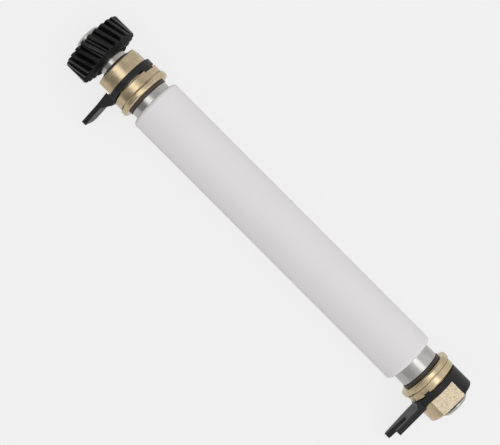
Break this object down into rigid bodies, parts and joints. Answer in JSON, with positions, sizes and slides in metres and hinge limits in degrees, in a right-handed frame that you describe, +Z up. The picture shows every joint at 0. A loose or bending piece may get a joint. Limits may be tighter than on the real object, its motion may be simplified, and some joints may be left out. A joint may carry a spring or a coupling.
{
  "type": "platen roller",
  "caption": "Rubber covered roller on a steel shaft, with a helical gear at one end and lever-operated bearing bushes that turn on its journals.",
  "frame": {"origin": "on the roller's axis, at the middle of the rubber sleeve", "axes": "+X along the axis from the gear end to the outboard end, +Z up from the table that the roller lies on"},
  "size_m": [0.1633, 0.033, 0.0216],
  "materials": {
    "shaft_steel": "fine turned",
    "sleeve_rubber": "ground matt",
    "gear_plastic": "moulded, satin",
    "washer_plastic": "matt",
    "bush_brass": "turned and milled",
    "lever_plastic": "moulded, satin",
    "ring_steel": "spring steel, black oxide"
  },
  "bodies": {
    "roller": {"roller_shaft": "shaft_steel", "rubber_sleeve": "sleeve_rubber", "drive_gear": "gear_plastic", "gear_drive_pin": "shaft_steel", "drive_thrust_washer": "washer_plastic", "drive_snap_ring": "ring_steel", "outboard_thrust_washer": "washer_plastic", "outboard_snap_ring": "ring_steel"},
    "drive_bush": {"drive_bearing": "bush_brass", "drive_latch_lever": "lever_plastic"},
    "outboard_bush": {"outboard_bearing": "bush_brass", "outboard_latch_lever": "lever_plastic"}
  },
  "joints": [
    {"name": "drive_bush_turn", "type": "hinge", "parent": "roller", "child": "drive_bush", "pos_m": [-0.06611, 0, 0], "axis": [1, 0, 0], "continuous": true},
    {"name": "outboard_bush_turn", "type": "hinge", "parent": "roller", "child": "outboard_bush", "pos_m": [0.06876, 0, 0], "axis": [1, 0, 0], "continuous": true}
  ]
}
